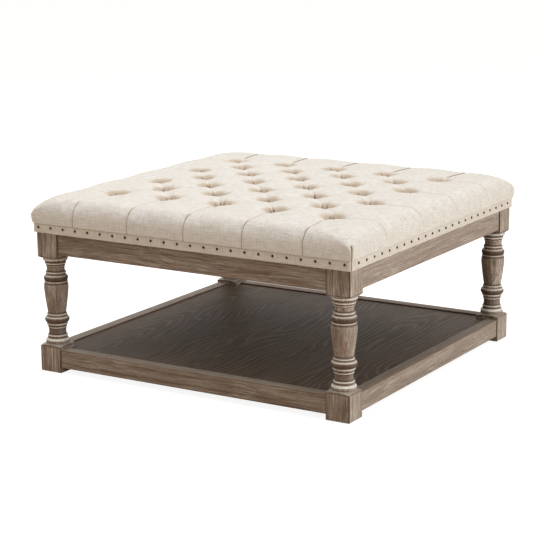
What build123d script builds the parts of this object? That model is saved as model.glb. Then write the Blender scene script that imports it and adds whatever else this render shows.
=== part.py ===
from build123d import *
import os
from math import cos, pi, sqrt

# Square tufted ottoman table. Millimetres, +Z up. The origin is on the floor under the centre of the
# table, and the front is the side that faces -Y.

# Legs
leg_span = 950.0  # outer face to outer face
leg_side = 67.0
leg_edge_radius = 1.5
foot_chamfer = 1.5
foot_block_top = 72.0
head_block_bottom = 318.5
frame_top = 392.0  # top of the legs and aprons

# Rails
apron_thickness = 22.0
apron_bottom = 327.5
apron_setback = 3.0
shelf_rail_thickness = 33.0
shelf_rail_bottom = 16.5
shelf_rail_top = 66.0
shelf_rail_setback = 2.5
rail_edge_radius = 1.5

# Shelf
shelf_top = 62.0
shelf_thickness = 12.0
shelf_clearance = 0.6
cleat_side = 20.0
bearer_width = 60.0

# Cushion frame
dust_cover_thickness = 0.6
dust_cover_margin = 6.0
top_frame_setout = 3.5  # beyond the leg faces
top_frame_width = 45.0
top_frame_height = 27.4
slat_width = 45.0
deck_thickness = 12.0
deck_setin = 2.5  # behind the frame's outer face
edge_padding_thickness = 3.0

# Cushion
hem_bottom = 385.0
hem_top = 410.0
hem_thickness = 3.0
cushion_overhang = 11.0  # of the fullest part of the sides beyond the leg faces
cushion_draw_in = 2.5  # of the sides, at the seam above the hem
cushion_side_height = 23.0  # from the hem up to where the sides are fullest
shoulder_height = 43.0  # from there up to the crown at the shoulder
cushion_crown = 8.0  # further rise to the middle
corner_radius = 6.0
shoulder_width = 43.0
pillow_rise = 2.5  # of the puffs above and the valleys below the crown
pleat_depth = 4.5
edge_roll_width = 30.0  # of the padding between the foam and the sides
foam_cover = 10.0  # of padding between the foam and the crown at the shoulder
foam_hole_radius = 28.0
tuft_padding = 8.0  # under the floor of each tuft, inside the foam's hole
soft_clearance = 0.3
crown_overrun = 20.0  # of the crown's profiles beyond the sides, which then trim them

# Tufts: staggered rows, so each row is half a pitch out of line with the next
tuft_margin_x = 154.0  # from the cushion's edge to the outermost tufts
tuft_margin_y = 183.0
tuft_rows = 7
tuft_row_counts = (5, 4)
tuft_depth = 20.0  # of the pit's floor below the valley it lies in
tuft_floor_radius = 4.0
tuft_radius = 30.0
tuft_lip = 4.0  # rise of the pit's rounded wall above the valley
tie_radius = 1.0
tie_knot_radius = 3.0
tie_knot_height = 2.0
tie_washer_radius = 9.0
tie_washer_thickness = 2.0
fit_clearance = 0.1

# Upholstery nails
nail_counts = (24, 23, 24, 23)  # front, right, rear, left
nail_end_margin = 18.15  # from the hem's edge to the last nail of the front row
nail_drop = 9.5  # of the nails below the hem's top
nail_head_radius = 3.7
nail_head_height = 2.4
nail_shank_radius = 0.9
nail_shank_length = 13.0

# Corner blocks and leg bolts
corner_block_height = 44.0
corner_block_thickness = 24.0
corner_block_gap = 2.8  # to the leg's inner corner
bolt_height = 370.0
bolt_radius = 4.0
bolt_in_leg = 35.0
bolt_end = 4.0
bolt_washer_radius = 9.0
bolt_washer_thickness = 2.0
bolt_nut_width = 13.0
bolt_nut_height = 6.5

# Screws, dowels and glides
screw_radius = 2.0
screw_head_radius = 4.0
screw_head_height = 2.5
apron_screw_length = 36.0
apron_screw_inset = 10.0
fixing_screw_length = 64.0
fixing_screw_inset = 8.5
deck_screw_length = 35.0
deck_screw_count = 4
frame_screw_length = 90.0
frame_screw_height = 411.0
cleat_screw_length = 40.0
cleat_screw_count = 3
panel_screw_length = 28.0
panel_screw_count = 2
dowel_radius = 4.0
dowel_length = 50.0
apron_dowel_heights = (345.0, 375.0)
shelf_dowel_heights = (29.0, 53.0)
glide_height = 2.0
glide_radius = 13.0
glide_edge = 0.8
glide_pin_radius = 1.5
glide_pin_length = 16.0
cut_overrun = 1.0

# The turned length between the blocks, from the foot block up. Each row is an arc: its low height, low
# radius, middle radius, high height and high radius. Heights are shares of the turned length and radii
# are shares of half the leg's side.
turning_shares = (
    (0.026, 0.881, 0.955, 0.083, 0.800),  # base torus
    (0.101, 0.752, 0.812, 0.122, 0.734),  # bead
    (0.123, 0.716, 0.693, 0.196, 0.716),  # lower neck
    (0.197, 0.734, 0.764, 0.212, 0.722),  # fillet
    (0.228, 0.764, 0.848, 0.253, 0.776),  # bead
    (0.256, 0.836, 0.985, 0.327, 0.824),  # torus
    (0.338, 0.740, 0.806, 0.361, 0.734),  # bead
    (0.364, 0.716, 0.869, 0.641, 0.979),  # vase, flaring
    (0.641, 0.979, 0.973, 0.703, 0.913),  # vase, shoulder
    (0.706, 0.884, 0.937, 0.722, 0.884),  # bead
    (0.726, 0.890, 0.964, 0.790, 0.800),  # torus
    (0.804, 0.752, 0.824, 0.828, 0.740),  # bead
    (0.830, 0.728, 0.713, 0.882, 0.734),  # upper neck
    (0.884, 0.746, 0.773, 0.897, 0.746),  # fillet
    (0.911, 0.770, 0.860, 0.934, 0.782),  # bead
    (0.947, 0.851, 0.991, 0.982, 0.925),  # collar
)

# Levels of the cushion's sides below its fullest height. Each row is the level as a share of the way up
# from the hem, the draw-in as a share of the whole, and the pleats' depth as a share of the full depth.
side_shares = (
    (0.0, 1.0, 0.15),
    (0.5, 0.3, 0.35),
)
# Levels of the shoulder above it. Each row is the level as a share of the rise to the shoulder, the
# draw-in as a share of the shoulder's width, the corner's radius as a multiple of the corner radius, and
# the pleats' depth as a share. The last two rows lie above the crown, which trims them.
shoulder_shares = (
    (0.00, 0.000, 1.0, 0.60),
    (0.28, 0.040, 2.4, 0.75),
    (0.55, 0.165, 5.8, 0.90),
    (0.78, 0.374, 9.4, 1.00),
    (0.93, 0.632, 12.0, 1.00),
    (1.04, 0.900, 13.5, 1.00),
    (1.50, 1.400, 15.0, 1.00),
)
corner_pleat_share = 0.25  # bow of a side's last span, beside the corner
crown_steps = 4  # profiles in each half pitch of the tuft rows
crown_end_shares = (0.2, 0.45, 0.7, 1.0)  # places of the profiles beyond the outermost rows

turns = (0, 1, 2, 3)
side_names = ("front", "right", "rear", "left")
corner_names = ("front_left", "front_right", "rear_right", "rear_left")

# Places worked out from the sizes above
leg_outer = leg_span / 2
leg_inner = leg_outer - leg_side
leg_axis = leg_outer - leg_side / 2
leg_corner_radius = leg_side / sqrt(2)
apron_outer = leg_outer - apron_setback
apron_inner = apron_outer - apron_thickness
apron_line = (apron_outer + apron_inner) / 2
shelf_rail_outer = leg_outer - shelf_rail_setback
shelf_rail_inner = shelf_rail_outer - shelf_rail_thickness
shelf_rail_line = (shelf_rail_outer + shelf_rail_inner) / 2
shelf_bottom = shelf_top - shelf_thickness
cleat_bottom = shelf_bottom - cleat_side
cleat_inner = shelf_rail_inner - cleat_side
cleat_line = (shelf_rail_inner + cleat_inner) / 2
cleat_middle = (cleat_bottom + shelf_bottom) / 2
top_frame_outer = leg_outer + top_frame_setout
top_frame_inner = top_frame_outer - top_frame_width
top_frame_line = (top_frame_outer + top_frame_inner) / 2
top_frame_bottom = frame_top + dust_cover_thickness
deck_bottom = top_frame_bottom + top_frame_height
deck_top = deck_bottom + deck_thickness
deck_outer = top_frame_outer - deck_setin
hem_inner = top_frame_outer + fit_clearance
hem_outer = hem_inner + hem_thickness
frame_corner_radius = corner_radius - hem_thickness
edge_padding_inner = deck_outer + fit_clearance
edge_padding_outer = edge_padding_inner + edge_padding_thickness
cushion_outer = leg_outer + cushion_overhang
cushion_full_height = hem_top + cushion_side_height
cushion_edge_height = cushion_full_height + shoulder_height
foam_top = cushion_edge_height - foam_cover
foam_outer = cushion_outer - edge_roll_width
foam_corner_radius = edge_roll_width
tuft_reach_x = cushion_outer - tuft_margin_x
tuft_reach_y = cushion_outer - tuft_margin_y
half_pitch_x = tuft_reach_x / (max(tuft_row_counts) - 1)
half_pitch_y = tuft_reach_y * 2 / (tuft_rows - 1)
nail_height = hem_top - nail_drop
nail_pitch = 2 * (hem_outer - nail_end_margin) / (max(nail_counts) - 1)
deck_screw_pitch = 2 * top_frame_inner / deck_screw_count
cleat_screw_pitch = 2 * leg_inner / cleat_screw_count
panel_screw_pitch = 2 * cleat_inner / panel_screw_count
slat_place = half_pitch_x * 3 / 2  # midway between two columns of tufts
tie_hole_radius = tie_radius + fit_clearance
tie_bottom = deck_bottom - tie_washer_thickness - tie_knot_height
fixing_height = frame_top - corner_block_height
block_outer_sum = leg_inner * 2 - corner_block_gap * sqrt(2)
block_inner_sum = block_outer_sum - corner_block_thickness * sqrt(2)
block_middle_sum = (block_outer_sum + block_inner_sum) / 2
washer_place = corner_block_gap + corner_block_thickness
nut_place = washer_place + bolt_washer_thickness
bolt_outside = nut_place + bolt_nut_height + bolt_end

os.makedirs("parts", exist_ok=True)


def write(name, form):
    """Labels a finished piece and writes it to its own file."""
    form.label = name
    export_step(form, f"parts/{name}.step")


def write_turned(name, form, turn):
    """Writes a piece that was made for the front, or the front left corner, turned to its own place."""
    with BuildPart() as piece:
        with Locations(Location((0, 0, 0), (0, 0, 90 * turn))):
            add(form)
    write(name, piece.part)


def turned(turn, x, y):
    """The point that a count of quarter turns about the table's centre carries (x, y) to."""
    for _ in range(turn):
        x, y = -y, x
    return x, y


def seat(turn, x, y, z, dx, dy, dz=0):
    """A plane at a point of one side, facing along a direction of that side."""
    return Plane(origin=(*turned(turn, x, y), z), z_dir=(*turned(turn, dx, dy), dz))


def spread(count, pitch):
    """Places of a centred row."""
    return [pitch * (index - (count - 1) / 2) for index in range(count)]


def tuft_places():
    """Places of all tufts, row by row."""
    return [
        (x, y)
        for row, y in enumerate(spread(tuft_rows, half_pitch_y))
        for x in spread(tuft_row_counts[row % 2], 2 * half_pitch_x)
    ]


# Seats of the fasteners. Each faces the way its head does.
def nail_seats(turn, depth):
    """One side's nails, on a vertical face at a distance from the centre."""
    return [seat(turn, x, -depth, nail_height, 0, -1) for x in spread(nail_counts[turn], nail_pitch)]


def rail_end_seats(turn, end, line, heights):
    """The middles of the dowels at one end, -1 or 1, of a side's rail."""
    return [seat(turn, end * leg_inner, -line, height, 1, 0) for height in heights]


def apron_screw_seats(turn):
    """The two screws through one corner block into its aprons, square to the block."""
    near = apron_inner - apron_screw_inset
    far = block_inner_sum - near
    return [seat(turn, -x, -y, bolt_height, 1, 1) for x, y in ((near, far), (far, near))]


def fixing_seats(turn):
    """The two screws up through one corner block into the cushion frame."""
    near = apron_inner - fixing_screw_inset
    far = block_middle_sum - near
    return [seat(turn, -x, -y, fixing_height, 0, 0, -1) for x, y in ((near, far), (far, near))]


def bolt_seat(turn):
    """The leg bolt, where it leaves the leg's inner corner."""
    return seat(turn, -leg_inner, -leg_inner, bolt_height, 1, 1)


def cleat_screw_seats(turn):
    return [seat(turn, x, -cleat_inner, cleat_middle, 0, 1) for x in spread(cleat_screw_count, cleat_screw_pitch)]


def panel_screw_seats(turn):
    places = spread(panel_screw_count, panel_screw_pitch)
    return [seat(turn, x, -cleat_line, cleat_bottom, 0, 0, -1) for x in places]


def bearer_screw_seats():
    return [seat(0, 0, y, cleat_bottom, 0, 0, -1) for y in spread(panel_screw_count, panel_screw_pitch)]


def deck_screw_seats(turn):
    return [seat(turn, x, -top_frame_line, deck_top, 0, 0, 1) for x in spread(deck_screw_count, deck_screw_pitch)]


def frame_screw_seats(turn):
    """In through the front or rear frame rail into the ends of the other two."""
    return [
        seat(turn, end * top_frame_line, -top_frame_outer, frame_screw_height, 0, -1) for end in (-1, 1)
    ]


def every(seats_of_turn, chosen=turns):
    return [place for turn in chosen for place in seats_of_turn(turn)]


# Fastener forms. Each lies along Z with its seat at zero and its head above it or level with it.
def screw_form(length):
    """A countersunk screw."""
    with BuildPart() as screw:
        with BuildSketch(Plane.XZ):
            with BuildLine():
                Polyline(
                    (0, 0),
                    (screw_head_radius, 0),
                    (screw_radius, -screw_head_height),
                    (screw_radius, screw_radius - length),
                    (0, -length),
                    close=True,
                )
            make_face()
        revolve(axis=Axis.Z)
    return screw.part


def screw_hole_form(length):
    """The cut for a countersunk screw."""
    with BuildPart() as hole:
        with BuildSketch(Plane.XZ):
            with BuildLine():
                Polyline(
                    (0, cut_overrun),
                    (screw_head_radius + fit_clearance, cut_overrun),
                    (screw_head_radius + fit_clearance, 0),
                    (screw_radius + fit_clearance, -screw_head_height),
                    (screw_radius + fit_clearance, -length - fit_clearance),
                    (0, -length - fit_clearance),
                    close=True,
                )
            make_face()
        revolve(axis=Axis.Z)
    return hole.part


def nail_form():
    """An upholstery nail with a domed head and a pointed shank."""
    with BuildPart() as nail:
        with BuildSketch(Plane.XZ):
            with BuildLine():
                ThreePointArc(
                    (0, nail_head_height),
                    (nail_head_radius * sqrt(1 / 2), nail_head_height * sqrt(1 / 2)),
                    (nail_head_radius, 0),
                )
                Polyline(
                    (nail_head_radius, 0),
                    (nail_shank_radius, 0),
                    (nail_shank_radius, nail_shank_radius * 3 - nail_shank_length),
                    (0, -nail_shank_length),
                    (0, nail_head_height),
                )
            make_face()
        revolve(axis=Axis.Z)
    return nail.part


def peg_form(radius, length):
    """A round peg or a hole's cut, centred on its seat."""
    with BuildPart() as peg:
        Cylinder(radius, length)
    return peg.part


def write_group(name, form, seats):
    """Writes one file with a copy of a fastener at each seat."""
    with BuildPart() as group:
        with Locations(*seats):
            add(form)
    write(name, group.part)


# One leg, turned from square stock: the blocks are what the lathe left whole
def leg_form():
    turning_length = head_block_bottom - foot_block_top
    half_side = leg_side / 2
    stock_radius = leg_corner_radius + cut_overrun

    def outline_point(height_share, radius_share):
        return (half_side * radius_share, foot_block_top + turning_length * height_share)

    with BuildPart() as leg:
        with BuildSketch(Plane(origin=(-leg_axis, -leg_axis, 0), x_dir=(1, 0, 0), z_dir=(0, -1, 0))):
            with BuildLine():
                point = (stock_radius, foot_block_top)
                Polyline((0, frame_top), (0, glide_height), (stock_radius, glide_height), point)
                for low, low_radius, middle_radius, high, high_radius in turning_shares:
                    start = outline_point(low, low_radius)
                    middle = outline_point((low + high) / 2, middle_radius)
                    end = outline_point(high, high_radius)
                    if start != point:
                        Line(point, start)
                    ThreePointArc(start, middle, end)
                    point = end
                Polyline(point, (stock_radius, head_block_bottom), (stock_radius, frame_top), (0, frame_top))
            make_face()
        revolve(axis=Axis((-leg_axis, -leg_axis, 0), (0, 0, 1)))
        with BuildSketch(Plane(origin=(-leg_axis, -leg_axis, glide_height))):
            RectangleRounded(leg_side, leg_side, leg_edge_radius)
        extrude(amount=frame_top - glide_height, mode=Mode.INTERSECT)
        chamfer(leg.faces().sort_by(Axis.Z)[0].edges(), foot_chamfer)
        with Locations(
            *rail_end_seats(0, -1, apron_line, apron_dowel_heights),
            *rail_end_seats(3, 1, apron_line, apron_dowel_heights),
            *rail_end_seats(0, -1, shelf_rail_line, shelf_dowel_heights),
            *rail_end_seats(3, 1, shelf_rail_line, shelf_dowel_heights),
        ):
            add(dowel_hole, mode=Mode.SUBTRACT)
        with Locations(bolt_seat(0)):
            Cylinder(bolt_radius + fit_clearance, 2 * bolt_in_leg, mode=Mode.SUBTRACT)
        with Locations((-leg_axis, -leg_axis, glide_height)):
            Cylinder(glide_pin_radius + fit_clearance, 2 * glide_pin_length, mode=Mode.SUBTRACT)
    return leg.part


# One rail between the blocks of the front legs, without its edge rounding or screw holes
def add_rail(line, thickness, bottom, top, dowel_heights):
    with BuildPart() as rail:
        with BuildSketch(Plane.XY.offset(bottom)):
            with Locations((0, -line)):
                Rectangle(2 * leg_inner, thickness)
        extrude(amount=top - bottom)
        with Locations(
            *rail_end_seats(0, -1, line, dowel_heights),
            *rail_end_seats(0, 1, line, dowel_heights),
        ):
            add(dowel_hole, mode=Mode.SUBTRACT)
    return rail.part


def apron_form():
    with BuildPart() as rail:
        add(add_rail(apron_line, apron_thickness, apron_bottom, frame_top, apron_dowel_heights))
        fillet(rail.faces().sort_by(Axis.Z)[0].edges().filter_by(Axis.X), rail_edge_radius)
        with Locations(*apron_screw_seats(0), *apron_screw_seats(1)):
            add(screw_hole_form(apron_screw_length), mode=Mode.SUBTRACT)
    return rail.part


def shelf_rail_form():
    with BuildPart() as rail:
        add(add_rail(shelf_rail_line, shelf_rail_thickness, shelf_rail_bottom, shelf_rail_top, shelf_dowel_heights))
        fillet(rail.edges().filter_by(Axis.X), rail_edge_radius)
        with Locations(*cleat_screw_seats(0)):
            add(screw_hole_form(cleat_screw_length), mode=Mode.SUBTRACT)
    return rail.part


# One cleat under the front edge of the shelf panel
def cleat_form():
    with BuildPart() as cleat:
        with BuildSketch(Plane.XY.offset(cleat_bottom)):
            with Locations((0, -cleat_line)):
                Rectangle(2 * (leg_inner - shelf_clearance), cleat_side)
        extrude(amount=cleat_side)
        with Locations(*cleat_screw_seats(0)):
            add(screw_hole_form(cleat_screw_length), mode=Mode.SUBTRACT)
        with Locations(*panel_screw_seats(0)):
            add(screw_hole_form(panel_screw_length), mode=Mode.SUBTRACT)
    return cleat.part


def shelf_panel_form():
    """The panel, notched round the legs, that lies on the cleats between the shelf rails."""
    with BuildPart() as panel:
        with BuildSketch(Plane.XY.offset(shelf_bottom)):
            side = 2 * (shelf_rail_inner - shelf_clearance)
            Rectangle(side, side)
            notch = leg_side + 2 * shelf_clearance
            with Locations(*[turned(turn, -leg_axis, -leg_axis) for turn in turns]):
                Rectangle(notch, notch, mode=Mode.SUBTRACT)
        extrude(amount=shelf_thickness)
        with Locations(*every(panel_screw_seats), *bearer_screw_seats()):
            add(screw_hole_form(panel_screw_length), mode=Mode.SUBTRACT)
    return panel.part


def bearer_form():
    """The strip under the middle of the panel, from the front cleat to the rear one."""
    with BuildPart() as bearer:
        with BuildSketch(Plane.XY.offset(cleat_bottom)):
            Rectangle(bearer_width, 2 * (cleat_inner - fit_clearance))
        extrude(amount=cleat_side)
        with Locations(*bearer_screw_seats()):
            add(screw_hole_form(panel_screw_length), mode=Mode.SUBTRACT)
    return bearer.part


# The front left corner block, square to the corner's diagonal, against the aprons' inner faces
def corner_block_form():
    with BuildPart() as block:
        with BuildSketch(Plane.XY.offset(fixing_height)):
            with BuildLine():
                Polyline(
                    (-apron_inner, apron_inner - block_outer_sum),
                    (-apron_inner, apron_inner - block_inner_sum),
                    (apron_inner - block_inner_sum, -apron_inner),
                    (apron_inner - block_outer_sum, -apron_inner),
                    close=True,
                )
            make_face()
        extrude(amount=corner_block_height)
        with Locations(bolt_seat(0)):
            Cylinder(bolt_radius + fit_clearance, 2 * bolt_outside, mode=Mode.SUBTRACT)
        with Locations(*apron_screw_seats(0)):
            add(screw_hole_form(apron_screw_length), mode=Mode.SUBTRACT)
        with Locations(*fixing_seats(0)):
            add(screw_hole_form(fixing_screw_length), mode=Mode.SUBTRACT)
    return block.part


def rounded_square(half, radius, mode=Mode.ADD):
    RectangleRounded(2 * half, 2 * half, radius, mode=mode)


# One rail of the cushion frame. The front and rear ones run the full length, and the others fit between.
def top_frame_form(turn):
    full_length = turn % 2 == 0
    half_length = top_frame_outer if full_length else top_frame_inner
    own_nails = nail_seats(turn, hem_outer)
    side_nails = [
        place
        for other in turns
        if other % 2 != turn % 2
        for place in nail_seats(other, hem_outer)
        if full_length and abs(place.origin.Y) > top_frame_inner
    ]
    with BuildPart() as rail:
        with BuildSketch(Plane.XY.offset(top_frame_bottom)):
            with Locations(Location((*turned(turn, 0, -top_frame_line), 0), (0, 0, 90 * turn))):
                Rectangle(2 * half_length, top_frame_width)
            rounded_square(top_frame_outer, frame_corner_radius, mode=Mode.INTERSECT)
        extrude(amount=top_frame_height)
        with Locations(*own_nails, *side_nails):
            Cylinder(nail_shank_radius + fit_clearance, 2 * nail_shank_length, mode=Mode.SUBTRACT)
        with Locations(*deck_screw_seats(turn)):
            add(screw_hole_form(deck_screw_length), mode=Mode.SUBTRACT)
        with Locations(*frame_screw_seats(0), *frame_screw_seats(2)):
            add(screw_hole_form(frame_screw_length), mode=Mode.SUBTRACT)
        with Locations(*every(fixing_seats)):
            add(screw_hole_form(fixing_screw_length), mode=Mode.SUBTRACT)
    return rail.part


def slat_form(side):
    """A slat under the deck, between the front and rear frame rails and clear of the tufts' ties."""
    with BuildPart() as slat:
        with BuildSketch(Plane.XY.offset(top_frame_bottom)):
            with Locations((side * slat_place, 0)):
                Rectangle(slat_width, 2 * top_frame_inner)
        extrude(amount=top_frame_height)
    return slat.part


def deck_form():
    with BuildPart() as deck:
        with BuildSketch(Plane.XY.offset(deck_bottom)):
            rounded_square(deck_outer, frame_corner_radius)
            with Locations(*tuft_places()):
                Circle(tie_hole_radius, mode=Mode.SUBTRACT)
        extrude(amount=deck_thickness)
        with Locations(*every(deck_screw_seats)):
            add(screw_hole_form(deck_screw_length), mode=Mode.SUBTRACT)
    return deck.part


def dust_cover_form():
    with BuildPart() as cover:
        with BuildSketch(Plane.XY.offset(frame_top)):
            half = top_frame_outer - dust_cover_margin
            Rectangle(2 * half, 2 * half)
            with Locations(*[(place.origin.X, place.origin.Y) for place in every(fixing_seats)]):
                Circle(screw_radius + fit_clearance, mode=Mode.SUBTRACT)
        extrude(amount=dust_cover_thickness)
    return cover.part


def ring_form(outer, outer_radius, inner, inner_radius, bottom, top):
    """A square ring with rounded corners."""
    with BuildPart() as ring:
        with BuildSketch(Plane.XY.offset(bottom)):
            rounded_square(outer, outer_radius)
            rounded_square(inner, inner_radius, mode=Mode.SUBTRACT)
        extrude(amount=top - bottom)
    return ring.part


def hem_form():
    """The folded linen band round the foot of the cushion, with the holes of the nails."""
    with BuildPart() as hem:
        add(ring_form(hem_outer, corner_radius, hem_inner, frame_corner_radius, hem_bottom, hem_top))
        with Locations(*every(lambda turn: nail_seats(turn, hem_outer))):
            Cylinder(nail_shank_radius + fit_clearance, 4 * hem_thickness, mode=Mode.SUBTRACT)
    return hem.part


# The cushion's outer form
def limited(value, reach):
    return max(-reach, min(reach, value))


def edge_share(value, reach):
    """From 0 at the outermost tufts to 1 at the cushion's edge."""
    return max(0, min(1, (abs(value) - reach) / (cushion_outer - reach)))


def crown_height(x, y):
    """Height of the crown: a bow over the whole span, and puffs that are lowest at the tufts and run
    out to the edges as pleats."""
    bow = max(0, 1 - (x / cushion_outer) ** 2) * max(0, 1 - (y / cushion_outer) ** 2)
    phase_x = limited(x, tuft_reach_x) / half_pitch_x
    phase_y = (limited(y, tuft_reach_y) - tuft_reach_y) / half_pitch_y
    corner = edge_share(x, tuft_reach_x) * edge_share(y, tuft_reach_y)
    wave = cos(pi * phase_x) * cos(pi * phase_y) * (1 - corner) - corner
    return cushion_edge_height + cushion_crown * bow - pillow_rise * wave


def profile_span(start, middle, end):
    """One span of a crown profile: an arc, or a line where the surface hardly bends."""
    if abs(middle[1] - (start[1] + end[1]) / 2) < soft_clearance / 10:
        Line(start, end)
    else:
        ThreePointArc(start, middle, end)


def crown_form():
    """A block with the crown for its top, lofted through profiles from front to rear."""
    reach = cushion_outer + crown_overrun
    columns = [-reach, *spread(2 * max(tuft_row_counts), half_pitch_x), reach]
    step = half_pitch_y / crown_steps
    stations = [step * index - tuft_reach_y for index in range(crown_steps * (tuft_rows - 1) + 1)]
    for share in crown_end_shares:
        place = tuft_reach_y + (reach - tuft_reach_y) * share
        stations = [-place, *stations, place]
    with BuildPart() as crown:
        for y in stations:
            with BuildSketch(Plane(origin=(0, y, 0), x_dir=(1, 0, 0), z_dir=(0, -1, 0))):
                with BuildLine():
                    tops = [(x, crown_height(x, y)) for x in columns]
                    for start, end in zip(tops, tops[1:]):
                        middle = (start[0] + end[0]) / 2
                        profile_span(start, (middle, crown_height(middle, y)), end)
                    Polyline(tops[-1], (reach, frame_top), (-reach, frame_top), tops[0])
                make_face()
        loft()
    return crown.part


def side_levels():
    """Height, draw-in, corner radius and pleat depth of each level of the cushion's sides."""
    levels = []
    for height_share, draw_share, pleat_share in side_shares:
        height = hem_top + cushion_side_height * height_share
        levels.append((height, cushion_draw_in * draw_share, corner_radius, pleat_depth * pleat_share))
    for height_share, draw_share, radius_multiple, pleat_share in shoulder_shares:
        height = cushion_full_height + shoulder_height * height_share
        radius = corner_radius * radius_multiple
        levels.append((height, shoulder_width * draw_share, radius, pleat_depth * pleat_share))
    return levels


def sides_form():
    """A block with the cushion's sides and shoulders, lofted through level sections. Each side is a row
    of shallow arcs, because the pleats of the outermost tufts draw it in between them."""
    pleats_along_x = spread(tuft_row_counts[0], 2 * half_pitch_x)
    pleats_along_y = spread(tuft_rows, half_pitch_y)[::2]
    with BuildPart() as sides:
        for height, draw_in, radius, depth in side_levels():
            half = cushion_outer - draw_in
            with BuildSketch(Plane.XY.offset(height)):
                with BuildLine():
                    for turn in turns:
                        pleats = pleats_along_y if turn % 2 else pleats_along_x
                        points = [(-half + radius, -half)]
                        points += [(place, depth - half) for place in pleats]
                        points += [(half - radius, -half)]
                        for start, end in zip(points, points[1:]):
                            between_pleats = start[1] == end[1]
                            bow = 0 if between_pleats else depth * corner_pleat_share
                            middle = ((start[0] + end[0]) / 2, bow - half)
                            ThreePointArc(turned(turn, *start), turned(turn, *middle), turned(turn, *end))
                        cut = radius * (1 - sqrt(1 / 2))
                        ThreePointArc(
                            turned(turn, half - radius, -half),
                            turned(turn, half - cut, cut - half),
                            turned(turn, half, radius - half),
                        )
                make_face()
        loft()
    return sides.part


def tuft_cut_form():
    """The cut for one tuft and its tie, from the height of the valley it lies in."""
    width = tuft_radius - tuft_floor_radius
    rise = tuft_depth + tuft_lip
    curve = (width**2 + rise**2) / (2 * rise)  # radius of the wall, which ends level at the lip
    middle_height = (tuft_lip - tuft_depth) / 2
    middle_radius = tuft_radius - sqrt(curve**2 - (middle_height - tuft_lip + curve) ** 2)
    above = tuft_lip + tuft_depth
    below = hem_top - cushion_edge_height
    with BuildPart() as cut:
        with BuildSketch(Plane.XZ):
            with BuildLine():
                ThreePointArc(
                    (tuft_radius, tuft_lip),
                    (middle_radius, middle_height),
                    (tuft_floor_radius, -tuft_depth),
                )
                Polyline(
                    (tuft_floor_radius, -tuft_depth),
                    (tie_hole_radius, -tuft_depth),
                    (tie_hole_radius, below),
                    (0, below),
                    (0, above),
                    (tuft_radius, above),
                    (tuft_radius, tuft_lip),
                )
            make_face()
        revolve(axis=Axis.Z)
    return cut.part


def foam_form():
    """The foam block inside the padding, with a hole for each tuft."""
    with BuildPart() as foam:
        with BuildSketch(Plane.XY.offset(deck_top)):
            rounded_square(foam_outer, foam_corner_radius)
            with Locations(*tuft_places()):
                Circle(foam_hole_radius, mode=Mode.SUBTRACT)
        extrude(amount=foam_top - deck_top)
    return foam.part


def pocket_form():
    """The space for the deck and the foam, up to where the padding is drawn down round each tuft."""
    with BuildPart() as pocket:
        with BuildSketch(Plane.XY.offset(hem_top)):
            rounded_square(edge_padding_outer + soft_clearance, frame_corner_radius)
        extrude(amount=deck_top - hem_top)
        with BuildSketch(Plane.XY.offset(deck_top)):
            rounded_square(foam_outer + soft_clearance, foam_corner_radius + soft_clearance)
        extrude(amount=foam_top + soft_clearance - deck_top)
        with Locations(*[(x, y, crown_height(x, y) - tuft_depth - tuft_padding) for x, y in tuft_places()]):
            Cylinder(
                foam_hole_radius - soft_clearance,
                foam_top - deck_top,
                align=(Align.CENTER, Align.CENTER, Align.MIN),
                mode=Mode.SUBTRACT,
            )
    return pocket.part


def cushion_form():
    """The linen cover with the padding sewn into it, one body from its tufted crown to the seam at the
    hem. It fits over the foam and the deck, and its padding is drawn down into the foam's holes."""
    with BuildPart() as cushion:
        add(sides_form())
        add(crown_form(), mode=Mode.INTERSECT)
        add(pocket_form(), mode=Mode.SUBTRACT)
        with Locations(*[(x, y, crown_height(x, y)) for x, y in tuft_places()]):
            add(tuft_cut_form(), mode=Mode.SUBTRACT)
    return cushion.part


def tie_form(x, y):
    """One tuft's twine, with a knot on the cover and one under the washer below the deck."""
    top = crown_height(x, y) - tuft_depth
    with BuildPart() as tie:
        with BuildSketch(Plane(origin=(x, y, 0), x_dir=(1, 0, 0), z_dir=(0, -1, 0))):
            with BuildLine():
                ThreePointArc(
                    (0, top + tie_knot_height),
                    (tie_knot_radius * sqrt(1 / 2), top + tie_knot_height * sqrt(1 / 2)),
                    (tie_knot_radius, top),
                )
                Polyline(
                    (tie_knot_radius, top),
                    (tie_radius, top),
                    (tie_radius, tie_bottom + tie_knot_height),
                    (tie_knot_radius, tie_bottom + tie_knot_height),
                    (tie_knot_radius, tie_bottom),
                    (0, tie_bottom),
                    (0, top + tie_knot_height),
                )
            make_face()
        revolve(axis=Axis((x, y, 0), (0, 0, 1)))
    return tie.part


def tie_washers_form():
    with BuildPart() as washers:
        with BuildSketch(Plane.XY.offset(deck_bottom - tie_washer_thickness)):
            with Locations(*tuft_places()):
                Circle(tie_washer_radius)
                Circle(tie_hole_radius, mode=Mode.SUBTRACT)
        extrude(amount=tie_washer_thickness)
    return washers.part


def bolt_form():
    """A leg bolt: one end in the leg, the other through the corner block, washer and nut."""
    with BuildPart() as bolt:
        with Locations((0, 0, (bolt_outside - bolt_in_leg) / 2)):
            Cylinder(bolt_radius, bolt_outside + bolt_in_leg)
    return bolt.part


def bolt_washer_form():
    with BuildPart() as washer:
        with BuildSketch(Plane.XY.offset(washer_place)):
            Circle(bolt_washer_radius)
            Circle(bolt_radius + fit_clearance, mode=Mode.SUBTRACT)
        extrude(amount=bolt_washer_thickness)
    return washer.part


def bolt_nut_form():
    with BuildPart() as nut:
        with BuildSketch(Plane.XY.offset(nut_place)):
            RegularPolygon(bolt_nut_width / 2, 6, major_radius=False)
            Circle(bolt_radius + fit_clearance, mode=Mode.SUBTRACT)
        extrude(amount=bolt_nut_height)
    return nut.part


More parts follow.
